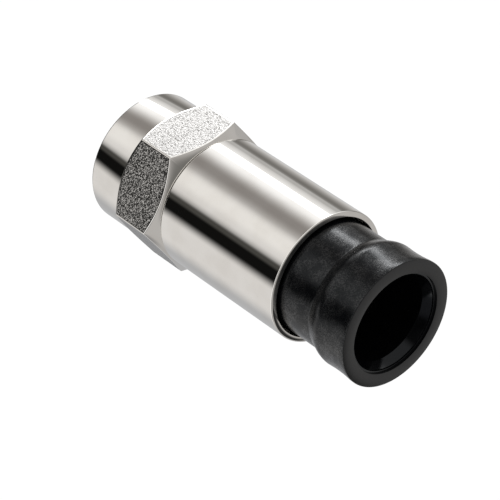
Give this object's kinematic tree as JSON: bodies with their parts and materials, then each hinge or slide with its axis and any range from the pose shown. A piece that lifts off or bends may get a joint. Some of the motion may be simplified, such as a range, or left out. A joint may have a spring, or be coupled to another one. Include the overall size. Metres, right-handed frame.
{
  "type": "coaxial compression connector",
  "caption": "Compression plug for coaxial cable: free-turning hexagon nut, polished round body and a black plastic sleeve pressed in to clamp the cable.",
  "frame": {"origin": "centre of the coupling nut's front face", "axes": "+Z along the connector's axis, from the nut towards the cable end; +X through a corner of the hexagon"},
  "size_m": [0.0126, 0.011, 0.0284],
  "materials": {
    "nickel": "polished nickel plate on brass, grained on the nut's flats",
    "tin": "bright tin plate on brass",
    "seal_rubber": "smooth black rubber",
    "black_plastic": "satin black moulded plastic"
  },
  "bodies": {
    "body": {"connector_body": "nickel", "center_post": "tin", "nut_seal": "seal_rubber"},
    "nut": {"coupling_nut": "nickel"},
    "sleeve": {"compression_sleeve": "black_plastic"}
  },
  "joints": [
    {"name": "nut_spin", "type": "hinge", "parent": "body", "child": "nut", "pos_m": [0, 0, 0.004], "axis": [0, 0, 1], "continuous": true},
    {"name": "sleeve_press", "type": "slide", "parent": "body", "child": "sleeve", "axis": [0, 0, -1], "range_m": [0, 0.0038]}
  ]
}
